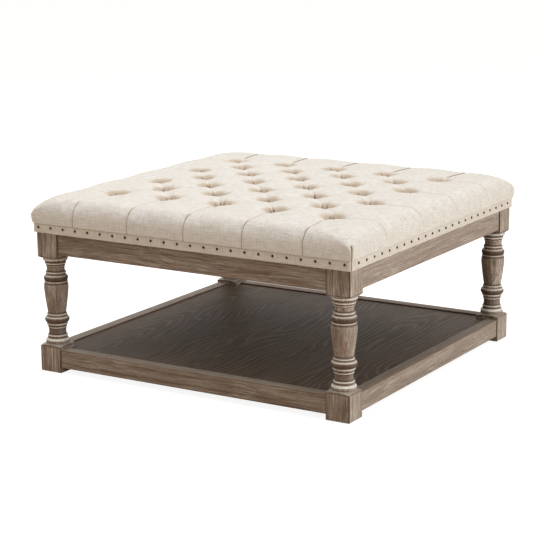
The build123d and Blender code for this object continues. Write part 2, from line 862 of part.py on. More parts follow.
def glide_form():
    """A nylon glide: a disc with an eased rim, and the pin that holds it in the leg."""
    with BuildPart() as glide:
        Cylinder(glide_radius, glide_height, align=(Align.CENTER, Align.CENTER, Align.MIN))
        chamfer(glide.faces().sort_by(Axis.Z)[0].edges(), glide_edge)
        with Locations((0, 0, glide_height)):
            Cylinder(glide_pin_radius, glide_pin_length, align=(Align.CENTER, Align.CENTER, Align.MIN))
    return glide.part


dowel = peg_form(dowel_radius, dowel_length)
dowel_hole = peg_form(dowel_radius + fit_clearance, dowel_length + 2 * fit_clearance)
nail = nail_form()

# Legs, rails, cleats and corner blocks: one of each kind, turned to its four places
leg = leg_form()
apron = apron_form()
shelf_rail = shelf_rail_form()
cleat = cleat_form()
corner_block = corner_block_form()
for turn in turns:
    write_turned(f"leg_{corner_names[turn]}", leg, turn)
    write_turned(f"apron_{side_names[turn]}", apron, turn)
    write_turned(f"shelf_rail_{side_names[turn]}", shelf_rail, turn)
    write_turned(f"shelf_cleat_{side_names[turn]}", cleat, turn)
    write_turned(f"corner_block_{corner_names[turn]}", corner_block, turn)
    write(f"top_frame_{side_names[turn]}", top_frame_form(turn))
    write_group(f"nails_{side_names[turn]}", nail, nail_seats(turn, hem_outer))

# Shelf
write("shelf_panel", shelf_panel_form())
write("shelf_bearer", bearer_form())

# Cushion
write("deck_slat_left", slat_form(-1))
write("deck_slat_right", slat_form(1))
write("deck_board", deck_form())
write("dust_cover", dust_cover_form())
write(
    "edge_padding",
    ring_form(
        edge_padding_outer, corner_radius, edge_padding_inner, frame_corner_radius, deck_bottom, deck_top
    ),
)
write("cover_hem", hem_form())
write("foam_pad", foam_form())
write("cushion_cover", cushion_form())
with BuildPart() as tuft_ties:
    add([tie_form(x, y) for x, y in tuft_places()])
write("tuft_ties", tuft_ties.part)
write("tie_washers", tie_washers_form())

# Fasteners and glides
write_group("hanger_bolts", bolt_form(), [bolt_seat(turn) for turn in turns])
write_group("hanger_washers", bolt_washer_form(), [bolt_seat(turn) for turn in turns])
write_group("hanger_nuts", bolt_nut_form(), [bolt_seat(turn) for turn in turns])
write_group("corner_block_screws", screw_form(apron_screw_length), every(apron_screw_seats))
write_group("top_fixing_screws", screw_form(fixing_screw_length), every(fixing_seats))
write_group("deck_screws", screw_form(deck_screw_length), every(deck_screw_seats))
write_group("frame_screws", screw_form(frame_screw_length), every(frame_screw_seats, (0, 2)))
write_group("cleat_screws", screw_form(cleat_screw_length), every(cleat_screw_seats))
write_group("panel_screws", screw_form(panel_screw_length), every(panel_screw_seats) + bearer_screw_seats())
for name, line, heights in (
    ("apron_dowels", apron_line, apron_dowel_heights),
    ("shelf_rail_dowels", shelf_rail_line, shelf_dowel_heights),
):
    ends = [(turn, end) for turn in turns for end in (-1, 1)]
    write_group(name, dowel, [place for turn, end in ends for place in rail_end_seats(turn, end, line, heights)])
write_group("foot_glides", glide_form(), [Plane(origin=(*turned(turn, -leg_axis, -leg_axis), 0)) for turn in turns])
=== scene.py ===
import math

import bpy
import numpy as np
from mathutils import Matrix, Vector, noise as value_noise


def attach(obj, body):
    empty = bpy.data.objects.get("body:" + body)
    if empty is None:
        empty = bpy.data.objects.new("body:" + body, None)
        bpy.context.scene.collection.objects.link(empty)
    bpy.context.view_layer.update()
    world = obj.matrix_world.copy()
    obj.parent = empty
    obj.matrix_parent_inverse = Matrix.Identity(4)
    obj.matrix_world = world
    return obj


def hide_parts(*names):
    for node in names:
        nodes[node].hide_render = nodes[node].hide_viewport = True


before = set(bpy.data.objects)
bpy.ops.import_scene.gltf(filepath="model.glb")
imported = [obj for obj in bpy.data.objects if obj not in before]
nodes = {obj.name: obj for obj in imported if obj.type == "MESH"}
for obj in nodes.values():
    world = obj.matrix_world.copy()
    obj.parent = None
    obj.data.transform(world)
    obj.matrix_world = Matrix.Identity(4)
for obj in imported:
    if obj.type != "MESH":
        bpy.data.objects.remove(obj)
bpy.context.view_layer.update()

# Sizes are in metres. Those of the cushion are the ones that its solids have.
edge = 0.486  # fullest part of the sides
seam_draw = 0.0025  # how far the sides draw in at the seam
seam_z, full_z, edge_z = 0.410, 0.433, 0.476  # the seam, the fullest part and the top's edge
crown_rise = 0.008
puff_rise = 0.0014
shoulder_width = 0.043
side_corner, top_corner = 0.004, 0.080  # corner radii of the sides and of the top
corner_start = 0.36  # where the corners of the top begin to round
straight = 0.35  # the part of each side beyond which the corners begin to turn
curl_length, curl_draw = 0.0022, 0.0016  # the cloth curls in over its last stretch before the seam
top_half = edge - shoulder_width

# Tufts: rows of five and of four by turns
tuft_x, tuft_y = 0.332, 0.303
pitch_x, pitch_y = tuft_x / 4, tuft_y / 3
tufts = np.array([
    (pitch_x * column, pitch_y * row)
    for row in range(-3, 4)
    for column in range(-4, 5)
    if (column + row + 1) % 2 == 0
])
tuft_depth, tuft_reach = 0.0215, 0.050
tuft_core = 0.002  # the flat of a tuft, under its knot
tuft_field = 0.08  # nothing of a tuft shows beyond this distance
pit_width, pit_share = 0.60, 0.66  # the steep pit in the dish: its share of the width and of the depth

# What runs out from each tuft. Pairs are the lowest and the highest values of a random draw.
run_out = 0.014  # where its valleys and creases begin to fade
valley_turn, valley_depth, valley_length, valley_width = 0.12, (0.0036, 0.0056), 0.038, 0.0090
line_turn, line_depth, line_length, line_width = 0.2, (0.0020, 0.0034), 0.022, 0.0021
line_tone, line_dark = (0.95, 1.2), 0.0030
crease_count, crease_turn = 11, 0.34
crease_depth, crease_length, crease_width = (0.0006, 0.0030), (0.014, 0.024), (0.0018, 0.0026)
crease_dark = 0.0024

# Pleats, at the seam and at their tufts: across the front and the rear, and along the left and right sides
pleats_x = [(-0.348, -tuft_x), (-0.174, -tuft_x / 2), (0.0, 0.0), (0.174, tuft_x / 2), (0.348, tuft_x)]
pleats_y = [(y, y) for y in (-tuft_y, -tuft_y / 3, tuft_y / 3, tuft_y)]
pleat_start_x, pleat_start_y = (0.020, 0.065), (0.022, 0.085)  # how far beyond the tufts a pleat grows
pleat_foot = 0.012  # pleats reach their place at the seam this far inside the edge
pleat_soft, pleat_sharp = 0.0035, 0.0012  # how fast a pleat falls off on either side of its line
pleat_depth, pleat_loss = 0.0042, 0.0022  # the depth over the shoulder, and how much of it goes by the seam
line_half, line_loss = 0.0020, 0.0008  # the same for half the width of its line of painted shade
side_pleat = 0.45  # how deep the pleats of the left and right sides are beside the others
lap_shift, lap_width, lap_depth = 0.0026, 0.0030, 0.0038  # the lapped cloth at the corner seams

# How dark the painted shade is, from 0 on open cloth to 1 in a crease
wall_shade, heart_shade = 0.50, 1.1  # the tufts' walls and their middles
pleat_shade, side_pleat_shade, seam_shade = 0.95, 0.42, 1.2
# painted shade over all of the hem, under the cushion's overhang
hem_shade = 0.14

# Grid of the cloth, and the sheet that the cloth simulation settles
coarse_step, fine_step = 0.0040, 0.0017
seam_zone = 0.046  # the cloth's edge has the fine step over this length
sheet_count = 171
held_edge, held_tuft = 0.010, 0.0065
swell_cap = 0.0010

# Hem and nails
hem_bottom, hem_top, hem_outer, hem_corner = 0.385, 0.410, 0.4816, 0.006
hem_steps = 2300
nail_count = 24  # along the front and the rear, with one less along the sides
nail_pitch = 2 * (hem_outer - 0.01815) / (nail_count - 1)
turns = ((1, 0), (0, 1), (-1, 0), (0, -1))  # cosine and sine of the quarter turns

# Wood: where its edges are. Pairs are the two ends of a change of tone.
leg_axis = 0.4415
block_ends = 0.0718, 0.3187  # the foot block's top and the upper block's foot
lathe_span = 0.0722, 0.3183  # the turned length between them
block_arris = 0.0318, 0.0336
rail_joint = 0.4060, 0.4078
rail_outer, rail_inner = (0.4710, 0.4690), (0.4420, 0.4402)
apron_foot, shelf_rail_top, shelf_rail_foot = 0.3285, 0.0652, 0.0172


def smooth(low, high, value):
    share = np.clip((value - low) / (high - low), 0, 1)
    return share * share * (3 - 2 * share)


def link(name, data):
    piece = bpy.data.objects.new(name, data)
    bpy.context.scene.collection.objects.link(piece)
    return piece


# Cushion
def crown(x, y):
    """Height of the top: a low bow with puffs, lowest at the tufts, that run out to the edges as pleats."""
    bow = np.maximum(1 - (x / edge) ** 2, 0) * np.maximum(1 - (y / edge) ** 2, 0)
    phase_x = np.clip(x, -tuft_x, tuft_x) / pitch_x
    phase_y = (np.clip(y, -tuft_y, tuft_y) - tuft_y) / pitch_y
    past_x = np.clip((np.abs(x) - tuft_x) / (edge - tuft_x), 0, 1)
    past_y = np.clip((np.abs(y) - tuft_y) / (edge - tuft_y), 0, 1)
    corner = past_x * past_y
    wave = np.cos(math.pi * phase_x) * np.cos(math.pi * phase_y) * (1 - corner) - corner
    return edge_z + crown_rise * bow - puff_rise * wave


def tuft_ways(cx, cy):
    """Directions from a tuft to its neighbours, or straight out where the outermost have none."""
    nearly = 0.01
    toward = [(sx * pitch_x, sy * pitch_y) for sx in (1, -1) for sy in (1, -1)]
    ways = [
        math.atan2(wy, wx)
        for wx, wy in toward
        if abs(cx + wx) < tuft_x + nearly and abs(cy + wy) < tuft_y + nearly
    ]
    if abs(cy) > tuft_y - nearly:
        ways.append(math.copysign(math.pi / 2, cy))
    if abs(cx) > tuft_x - nearly:
        ways.append(0.0 if cx > 0 else math.pi)
    return ways


def tuft_arms(ways, rng):
    """The valleys towards the neighbours, a line of painted shade down each, and short creases all round: the
    direction, depth, length, width, tone and width of the painted shade line of each."""
    arms = []
    for way in ways:
        direction = way + rng.uniform(-valley_turn, valley_turn)
        arms.append((direction, rng.uniform(*valley_depth), valley_length, valley_width, 0, 0))
    for way in ways:
        direction = way + rng.uniform(-line_turn, line_turn)
        depth = rng.uniform(*line_depth)
        arms.append((direction, depth, line_length, line_width, rng.uniform(*line_tone), line_dark))
    first = rng.uniform(0, 1)
    for k in range(crease_count):
        direction = 2 * math.pi * (k + first + rng.uniform(-crease_turn, crease_turn)) / crease_count
        depth = rng.uniform(*crease_depth)
        length, width = rng.uniform(*crease_length), rng.uniform(*crease_width)
        strength = (depth - crease_depth[0]) / (crease_depth[1] - crease_depth[0])
        arms.append((direction, depth, length, width, min(1.1, 0.55 + 0.7 * strength), crease_dark))
    return arms


def pits(x, y):
    """Depth of the tufts, each a pit in a dish with creases that fan out, no two alike, and their shade."""
    depth, shade = np.zeros_like(x), np.zeros_like(x)
    for index, (cx, cy) in enumerate(tufts):
        near = np.hypot(x - cx, y - cy)
        mask = near < tuft_field
        reach = near[mask]
        angle = np.arctan2(y[mask] - cy, x[mask] - cx)
        rng = np.random.default_rng(100 + index)
        # The mouth is a little squarish and lopsided
        lopsided = 0.06 * np.cos(2 * (angle - rng.uniform(0, math.pi)))
        squarish = 0.05 * np.cos(4 * angle + rng.uniform(-1, 1))
        mouth = tuft_reach * (1 + lopsided + squarish)
        part = np.clip((reach - tuft_core) / mouth, 0, 1)
        inner = np.clip((reach - tuft_core) / (pit_width * mouth), 0, 1)
        pit = (1 - inner) ** 1.2 * (1 + 0.35 * inner)
        bowl = pit_share * pit + (1 - pit_share) * (1 - part) ** 1.5
        fan, dark = np.zeros_like(reach), np.zeros_like(reach)
        for direction, strength, length, width, tone, line in tuft_arms(tuft_ways(cx, cy), rng):
            turn = (angle - direction + math.pi) % (2 * math.pi) - math.pi
            aside = np.sin(turn) * reach
            ahead = np.cos(turn) > 0
            fade = np.exp(-(np.clip(reach - run_out, 0, 1) / length) ** 2) * smooth(tuft_core, 0.008, reach)
            fan += np.where(ahead, strength * fade * np.exp(-(aside / width) ** 2 * 0.7), 0)
            # A line of painted shade down the arm
            if tone:
                dark = np.maximum(dark, np.where(ahead, tone * fade * np.exp(-(aside / line) ** 2), 0))
        depth[mask] += tuft_depth * bowl + fan
        # Painted shade: tan on the walls, darkest in the middle and down the lines of the valleys and creases
        wall = wall_shade * smooth(0.85, 0.42, part)
        heart = heart_shade * (1 - smooth(0.011, 0.026, reach))
        shade[mask] = np.maximum(np.maximum(dark, wall), heart)
    return depth, shade


def shoulder_table():
    """Along the cloth from the top's edge down to the seam: length, draw-in, and share of the rise."""
    angle = np.linspace(math.pi / 2, 0, 60)
    inset = shoulder_width * (1 - np.cos(angle))
    rise = np.sin(angle)
    height = (edge_z - full_z) * rise
    length = np.concatenate([[0], np.cumsum(np.hypot(np.diff(inset), np.diff(height)))])
    side = full_z - seam_z
    down = np.linspace(0, side, 40)[1:]
    curl = np.clip((down - side + curl_length) / curl_length, 0, 1) ** 2
    inset = np.concatenate([inset, seam_draw * (down / side) ** 2 + curl_draw * curl])
    rise = np.concatenate([rise, -down / (edge_z - full_z)])
    length = np.concatenate([length, length[-1] + down])
    return length, inset, rise


table_length, table_inset, table_rise = shoulder_table()
cloth_half = top_half + table_length[-1]


def fold(distance, left, right):
    """A tucked fold: 1 on its line, falling off slowly on its left and at once on its right."""
    under = 0.72 * np.exp(distance / left) + 0.28 * np.exp(distance / (left * 5))
    return np.where(distance < 0, under, np.exp(-distance / right))


def plain_point(u, v):
    """The place of cloth points (u, v), measured along the cloth from the middle of the top, on the cushion
    without its pleats and tufts, and their share of the rise above the fullest part."""
    a, b = np.abs(u), np.abs(v)
    ring, along = np.maximum(a, b), np.minimum(a, b)
    down = np.clip(ring - top_half, 0, None)
    inset = np.interp(down, table_length, table_inset)
    rise = np.interp(down, table_length, table_rise)
    half = np.where(ring < top_half, ring, edge - inset)
    on_top = top_corner * smooth(corner_start, top_half, ring)
    on_side = side_corner + (top_corner - side_corner) * np.clip(rise, 0, 1) ** 1.5
    radius = np.where(ring < top_half, on_top, on_side)
    length = half - radius + radius * math.pi / 4
    turning = ring > straight
    stretch = np.where(turning, (length - straight) / np.where(turning, ring - straight, 1), 1)
    q = np.where(along > straight, straight + (along - straight) * stretch, along)
    flat = half - radius
    bend = np.clip((q - flat) / np.maximum(radius, 1e-9), 0, math.pi / 4)
    short = np.where(q > flat, flat + radius * np.sin(bend), q)
    long = np.where(q > flat, flat + radius * np.cos(bend), half)
    x = np.where(a >= b, long, short) * np.sign(u)
    y = np.where(a >= b, short, long) * np.sign(v)
    top = crown(x, y)
    z = np.where(rise > 0, full_z + (top - full_z) * rise, full_z + (edge_z - full_z) * rise)
    return x, y, z, rise


def cushion_point(u, v):
    """The place of cloth points (u, v) on the cushion, and how far each lies in the shade of a fold."""
    x, y, z, rise = plain_point(u, v)
    a, b = np.abs(u), np.abs(v)
    ring, along = np.maximum(a, b), np.minimum(a, b)
    lower = np.clip(ring - top_half, 0, None) / table_length[-1]
    on_side = a > b
    # Pleats: from the outermost tufts over the shoulder to the seam, each tucked under on one side, with a
    # line of painted shade
    out_x = smooth(tuft_x + pleat_start_x[0], tuft_x + pleat_start_x[1], np.abs(x))
    out_y = smooth(tuft_y + pleat_start_y[0], tuft_y + pleat_start_y[1], np.abs(y))
    aside_x = smooth(edge - pleat_foot, tuft_y, np.abs(y))
    aside_y = smooth(edge - pleat_foot, tuft_x, np.abs(x))
    pleats = []
    for foot, head in pleats_x:
        pleats.append((out_y * ~on_side, (x - foot - (head - foot) * aside_x) * np.sign(-v)))
    for foot, head in pleats_y:
        pleats.append((out_x * on_side, (y - foot - (head - foot) * aside_y) * np.sign(u)))
    pleat_line_shade = np.where(on_side, side_pleat_shade * (1 - smooth(0.55, 0.85, lower)), pleat_shade)
    half_width = line_half - line_loss * smooth(0.2, 0.5, lower)
    depth, shade = np.zeros_like(x), np.zeros_like(x)
    for share, line in pleats:
        depth = np.maximum(depth, share * fold(line, pleat_soft, pleat_sharp))
        shade = np.maximum(shade, pleat_line_shade * np.clip(share * 1.6, 0, 1) * np.exp(-(line / half_width) ** 2))
    depth = depth * (pleat_depth - pleat_loss * smooth(0.55, 1.0, lower)) * np.where(on_side, side_pleat, 1.0)
    # Corner seams, up the lower half of each corner: the front and rear cloths are lapped over the sides',
    # with a line of painted shade on the lap
    lap = (ring - along) * np.where(on_side, 1, -1) - lap_shift
    at_seam = (1 - smooth(0.26, 0.42, rise)) * smooth(0.02, 0.2, lower) * np.exp(-(lap / lap_width) ** 2)
    depth = depth + lap_depth * at_seam
    shade = np.maximum(shade, seam_shade * at_seam)
    outward = np.clip(lower * 1.6, 0, 1)
    x = x - depth * outward * np.where(on_side, np.sign(u), 0.0)
    y = y - depth * outward * np.where(on_side, 0.0, np.sign(v))
    pit_depth, pit_shade = pits(x, y)
    z = z - 0.6 * depth * (1 - outward) - pit_depth
    return x, y, z, np.maximum(shade, pit_shade)


def cloth_lines(folds):
    """Grid lines across the cloth, closer together beside the tufts and folds and at the seam."""
    lines = [-cloth_half]
    while lines[-1] < cloth_half - 1e-6:
        here = lines[-1]
        near = min(abs(abs(here) - fold_place) for fold_place in folds)
        gap = fine_step + (coarse_step - fine_step) * float(smooth(0.030, 0.044, np.array(near)))
        if cloth_half - abs(here) < seam_zone:
            gap = min(gap, fine_step)
        lines.append(min(here + gap, cloth_half))
    return np.array(lines)


def grid_mesh(name, points, uv=None, shade=None, more=((), ())):
    """A mesh of quads over a grid of points, row by row, with more points and faces after them."""
    rows, columns = points.shape[:2]
    index = np.arange(rows * columns).reshape(rows, columns)
    quads = np.stack([index[:-1, :-1], index[:-1, 1:], index[1:, 1:], index[1:, :-1]], -1).reshape(-1, 4)
    corners = points.reshape(-1, 3).tolist() + list(more[0])
    mesh = bpy.data.meshes.new(name)
    mesh.from_pydata(corners, [], quads.tolist() + list(more[1]))
    if uv is not None:
        flat = np.zeros((len(corners), 2), np.float32)
        flat[:rows * columns] = uv.reshape(-1, 2)
        layer = mesh.uv_layers.new(name="cloth")
        owner = np.zeros(len(mesh.loops), np.int32)
        mesh.loops.foreach_get("vertex_index", owner)
        layer.data.foreach_set("uv", flat[owner].ravel())
    if shade is not None:
        tone = np.zeros(len(corners), np.float32)
        tone[:rows * columns] = shade.ravel()
        mesh.attributes.new("shade", "FLOAT", "POINT").data.foreach_set("value", tone)
    mesh.polygons.foreach_set("use_smooth", np.ones(len(mesh.polygons), bool))
    return mesh


def settled_sheet(start, held):
    """The points of a coarse sheet of cloth after it has swollen, with the held points in their places."""
    sheet = link("sheet", grid_mesh("sheet", start))
    group = sheet.vertex_groups.new(name="held")
    group.add(np.flatnonzero(held).tolist(), 1.0, "REPLACE")
    settings = sheet.modifiers.new("cloth", "CLOTH").settings
    settings.quality = 6
    settings.mass = 0.35
    settings.tension_stiffness = settings.compression_stiffness = 18
    settings.shear_stiffness = 6
    settings.bending_stiffness = 4
    settings.vertex_group_mass = "held"
    settings.shrink_min = -0.008
    settings.use_pressure = True
    settings.uniform_pressure_force = 2
    settings.effector_weights.gravity = 0
    for frame_number in range(1, 21):
        bpy.context.scene.frame_set(frame_number)
    points = np.zeros(start.size, np.float32)
    sheet.evaluated_get(bpy.context.evaluated_depsgraph_get()).data.vertices.foreach_get("co", points)
    bpy.context.scene.frame_set(1)
    bpy.data.meshes.remove(sheet.data)
    return points.reshape(start.shape)


def cubic_weights(value, step):
    """The four lines of the sheet round each place, and their shares in a cubic interpolation."""
    place = np.clip((value + cloth_half) / step, 0, sheet_count - 1.0001)
    cell = place.astype(int)
    t = place - cell
    shares = (
        -0.5 * t + t * t - 0.5 * t**3,
        1 - 2.5 * t * t + 1.5 * t**3,
        0.5 * t + 2 * t * t - 1.5 * t**3,
        -0.5 * t * t + 0.5 * t**3,
    )
    return [(np.clip(cell + k - 1, 0, sheet_count - 1), share) for k, share in enumerate(shares)]


def swelling(u, v):
    """Lets the cover swell as cloth between its tufts and its seam, and gives the shift of each point."""
    line = np.linspace(-cloth_half, cloth_half, sheet_count)
    grid_v, grid_u = np.meshgrid(line, line, indexing="ij")
    start = np.stack(cushion_point(grid_u, grid_v)[:3], -1)
    near = np.min(np.hypot(start[..., 0, None] - tufts[:, 0], start[..., 1, None] - tufts[:, 1]), -1)
    at_seam = np.maximum(np.abs(grid_u), np.abs(grid_v)) > cloth_half - held_edge
    shift = settled_sheet(start, np.maximum(at_seam, near < held_tuft).ravel()) - start
    size = np.linalg.norm(shift, axis=-1, keepdims=True)
    shift *= swell_cap * np.tanh(size / swell_cap) / np.maximum(size, 1e-9)
    total = np.zeros(u.shape + (3,))
    step = line[1] - line[0]
    for row, row_share in cubic_weights(v, step):
        for column, column_share in cubic_weights(u, step):
            total += shift[row, column] * (row_share * column_share)[..., None]
    return total


def make_cushion():
    us = cloth_lines([pitch_x * k for k in range(5)] + [foot for foot, head in pleats_x[3:]])
    vs = cloth_lines([pitch_y * k for k in range(4)])
    v, u = np.meshgrid(vs, us, indexing="ij")
    x, y, z, shade = cushion_point(u, v)
    points = np.stack([x, y, z], -1)
    points += swelling(u, v)
    # Its underside: round the lip, up inside behind the padding, and across under the foam
    index = np.arange(u.size).reshape(u.shape)
    border = np.concatenate([index[0, :-1], index[:-1, -1], index[-1, :0:-1], index[:0:-1, 0]])
    rim = points.reshape(-1, 3)[border]
    count, first = len(border), u.size
    inward = 0.4790 / 0.4819  # from the seam's half width to that of the padding
    lip = rim * (inward, inward, 1) + (0, 0, 0.0001)
    wall = rim * (inward, inward, 0) + (0, 0, full_z - 0.0005)
    faces = []
    for k in range(count):
        n = (k + 1) % count
        faces.append([int(border[n]), int(border[k]), first + k, first + n])
        faces.append([first + n, first + k, first + count + k, first + count + n])
    faces.append([first + count + k for k in reversed(range(count))])
    more = (lip.tolist() + wall.tolist(), faces)
    return link("cushion", grid_mesh("cushion", points, np.stack([u, v], -1), shade, more))


# Hem
def rounded_ring(half, radius, count):
    """Points, outward directions and lengths along a rounded square, starting in the middle of the front."""
    straight_length = 2 * (half - radius)
    arc = math.pi / 2 * radius
    total = 4 * (straight_length + arc)
    rows = []
    for step in range(count):
        s = total * step / count
        side, t = divmod((s + straight_length / 2) % total, straight_length + arc)
        if t < straight_length:
            p, n = (t - straight_length / 2, -half), (0.0, -1.0)
        else:
            bend = (t - straight_length) / radius
            n = (math.sin(bend), -math.cos(bend))
            p = (half - radius + radius * n[0], -(half - radius) + radius * n[1])
        c, d = turns[int(side) % 4]
        rows.append((p[0] * c - p[1] * d, p[0] * d + p[1] * c, n[0] * c - n[1] * d, n[0] * d + n[1] * c, s))
    return np.array(rows)


def nail_places():
    places = []
    for turn, (c, d) in enumerate(turns):
        count = nail_count - turn % 2
        for k in range(count):
            px, py = nail_pitch * (k - (count - 1) / 2), -hem_outer
            places.append((px * c - py * d, px * d + py * c))
    return np.array(places)


# The hem's section, from the middle of its back over the top, down its face and up its back again: how far
# outward, and the height as a share. It is rounded at both folds.
hem_profile = (
    (-0.0029, 0.50), (-0.0028, 0.96), (-0.0018, 1.0), (-0.0006, 0.985), (0.0, 0.93), (0.0001, 0.75),
    (0.0, 0.5), (0.0001, 0.25), (0.0, 0.09), (-0.0006, 0.02), (-0.0018, 0.0), (-0.0028, 0.03),
    (-0.0029, 0.30),
)


def make_hem():
    """The folded band under the seam, dimpled at each nail and a little uneven along its foot."""
    ring = rounded_ring(hem_outer, hem_corner, hem_steps)
    nails = nail_places()
    points = np.zeros((len(hem_profile), hem_steps + 1, 3))
    uv = np.zeros((len(hem_profile), hem_steps + 1, 2))
    shade = np.zeros((len(hem_profile), hem_steps + 1))
    side = 2 * hem_outer - 2 * hem_corner + math.pi / 2 * hem_corner
    puff = 0.0006
    near = np.min(np.hypot(ring[:, 0, None] - nails[:, 0], ring[:, 1, None] - nails[:, 1]), 1)
    for column in range(hem_steps + 1):
        x, y, nx, ny, s = ring[column % hem_steps]
        slow = value_noise.noise(Vector((x * 22, y * 22, 3.1)))
        quick = value_noise.noise(Vector((x * 90, y * 90, 7.7)))
        uneven = slow * 0.0007 + quick * 0.0004
        dimple = puff * math.exp(-(near[column % hem_steps] / 0.009) ** 2)
        # The lapped ends of the band, just round each corner on the left and right sides, set in and darkened
        # with painted shade
        turn, past = divmod(s + side / 2 + 0.0001, side)
        from_corner = min(past, side - past) * (1 if turn % 2 else -1) - 0.002
        lap = math.exp(-(from_corner / 0.0020) ** 2)
        for row, (out, share) in enumerate(hem_profile):
            on_face = out > -0.001
            foot = (1 - share) * uneven
            middle = max(0.0, 1 - abs(share - 0.62) / 0.4) if on_face else 0
            shift = out - dimple * middle + foot * 0.6 - (0.0016 * lap if on_face else 0)
            height = hem_bottom + (hem_top - 0.0003 - hem_bottom) * share + foot
            points[row, column] = (x + nx * shift, y + ny * shift, height)
            uv[row, column] = (s, 0.7 + share * (hem_top - hem_bottom))
            shade[row, column] = max(hem_shade, lap)
    return link("hem_band", grid_mesh("hem_band", points, uv, shade))


# Materials
class Graph:
    """A node tree and short ways to add to its nodes."""

    def __init__(self, tree):
        self.tree = tree
        self.tree.nodes.clear()

    def put(self, socket, value):
        if isinstance(value, bpy.types.NodeSocket):
            self.tree.links.new(value, socket)
        else:
            socket.default_value = value

    def add(self, kind, inputs=None, **settings):
        node = self.tree.nodes.new(kind)
        for key, value in settings.items():
            setattr(node, key, value)
        for key, value in (inputs or {}).items():
            self.put(node.inputs[key], value)
        return node

    def math(self, operation, a, b=0.0):
        return self.add("ShaderNodeMath", {0: a, 1: b}, operation=operation).outputs[0]

    def plus(self, a, b):
        return self.math("ADD", a, b)

    def minus(self, a, b):
        return self.math("SUBTRACT", a, b)

    def times(self, a, b):
        return self.math("MULTIPLY", a, b)

    def size(self, a):
        return self.math("ABSOLUTE", a)

    def least(self, a, b):
        return self.math("MINIMUM", a, b)

    def most(self, a, b):
        return self.math("MAXIMUM", a, b)

    def between(self, value, low, high):
        return self.times(self.math("GREATER_THAN", value, low), self.math("LESS_THAN", value, high))

    def waves(self, value, length):
        return self.math("SINE", self.times(value, 2 * math.pi / length))

    def span(self, value, low, high, out_low=0.0, out_high=1.0, kind="SMOOTHSTEP"):
        inputs = {"Value": value, "From Min": low, "From Max": high, "To Min": out_low, "To Max": out_high}
        return self.add("ShaderNodeMapRange", inputs, interpolation_type=kind).outputs["Result"]

    def mix(self, share, a, b):
        return self.add("ShaderNodeMix", {0: share, 6: a, 7: b}, data_type="RGBA").outputs[2]

    def noise(self, vector, scale, detail, rough, distortion=0.0, shift=(0, 0, 0)):
        """Noise of one scale, or of a scale along each axis."""
        if isinstance(scale, tuple):
            inputs = {"Vector": vector, "Scale": scale, "Location": shift}
            vector, scale = self.add("ShaderNodeMapping", inputs).outputs[0], 1.0
        inputs = {"Vector": vector, "Scale": scale, "Detail": detail, "Roughness": rough}
        return self.add("ShaderNodeTexNoise", {**inputs, "Distortion": distortion}).outputs[0]

    def split(self, vector):
        return tuple(self.add("ShaderNodeSeparateXYZ", {0: vector}).outputs)

    def join(self, x, y, z):
        return self.add("ShaderNodeCombineXYZ", {0: x, 1: y, 2: z}).outputs[0]

    def place(self):
        return self.add("ShaderNodeTexCoord").outputs["Object"]

    def bump(self, height, distance, strength):
        inputs = {"Height": height, "Distance": distance, "Strength": strength}
        return self.add("ShaderNodeBump", inputs).outputs[0]

    def end(self, shader, kind="ShaderNodeOutputMaterial"):
        self.put(self.add(kind).inputs[0], shader)


class Paint(Graph):
    """A material."""

    def __init__(self, name):
        self.material = bpy.data.materials.new(name)
        self.material.use_nodes = True
        super().__init__(self.material.node_tree)

    def finish(self, colour, rough, normal, **constants):
        inputs = {"Base Color": colour, "Roughness": rough, "Normal": normal}
        shader = self.add("ShaderNodeBsdfPrincipled", inputs)
        for key, value in constants.items():
            shader.inputs[key.replace("_", " ")].default_value = value
        self.end(shader.outputs[0])
        return self.material


def rgb(r, g, b):
    """A colour written as 0 to 255 screen values."""
    channels = (c / 255 for c in (r, g, b))
    return tuple(c / 12.92 if c <= 0.04 else ((c + 0.055) / 1.055) ** 2.4 for c in channels) + (1.0,)


def linen():
    """Oatmeal linen: an uneven plain weave with slubs along both thread directions, with painted shade in its
    folds.
    """
    p = Paint("linen")
    cloth = p.add("ShaderNodeUVMap", uv_map="cloth").outputs[0]
    shade = p.add("ShaderNodeAttribute", attribute_name="shade").outputs["Fac"]
    warp = p.noise(cloth, (640, 34, 1), 2.5, 0.6)
    weft = p.noise(cloth, (28, 600, 1), 2.5, 0.6, shift=(5.3, 1.7, 0))
    slub_warp = p.span(p.noise(cloth, (400, 16, 1), 1.5, 0.5, shift=(2.1, 9.2, 0)), 0.60, 0.76)
    slub_weft = p.span(p.noise(cloth, (13, 380, 1), 1.5, 0.5, shift=(7.4, 3.3, 0)), 0.60, 0.76)
    u, v, _ = p.split(cloth)
    weave = p.times(p.waves(u, 0.0016), p.waves(v, 0.0016))
    threads = p.plus(p.times(warp, 0.5), p.times(weft, 0.5))
    blotch = p.noise(p.place(), 11.0, 3.0, 0.6)
    colour = p.mix(p.span(threads, 0.38, 0.62), rgb(212, 205, 195), rgb(244, 241, 236))
    colour = p.mix(p.times(slub_warp, 0.55), colour, rgb(198, 186, 170))
    colour = p.mix(p.times(slub_weft, 0.60), colour, rgb(198, 186, 170))
    colour = p.mix(p.span(blotch, 0.35, 0.7, 0.0, 0.18), colour, rgb(226, 217, 204))
    # Painted shade: tan on the walls of the tufts, and brown down in the creases, pleats and seams
    colour = p.mix(p.span(shade, 0.0, 0.6, 0.0, 0.85, "LINEAR"), colour, rgb(194, 171, 144))
    colour = p.mix(p.span(shade, 0.42, 0.95, 0.0, 0.95), colour, rgb(98, 68, 42))
    slubs = p.times(p.plus(slub_warp, slub_weft), 0.3)
    height = p.plus(p.plus(threads, p.times(weave, 0.2)), slubs)
    rough = p.span(threads, 0.3, 0.7, 0.82, 0.95)
    normal = p.bump(height, 0.0012, 0.6)
    return p.finish(colour, rough, normal, Sheen_Weight=0.15, Sheen_Roughness=0.5, Specular_IOR_Level=0.22)
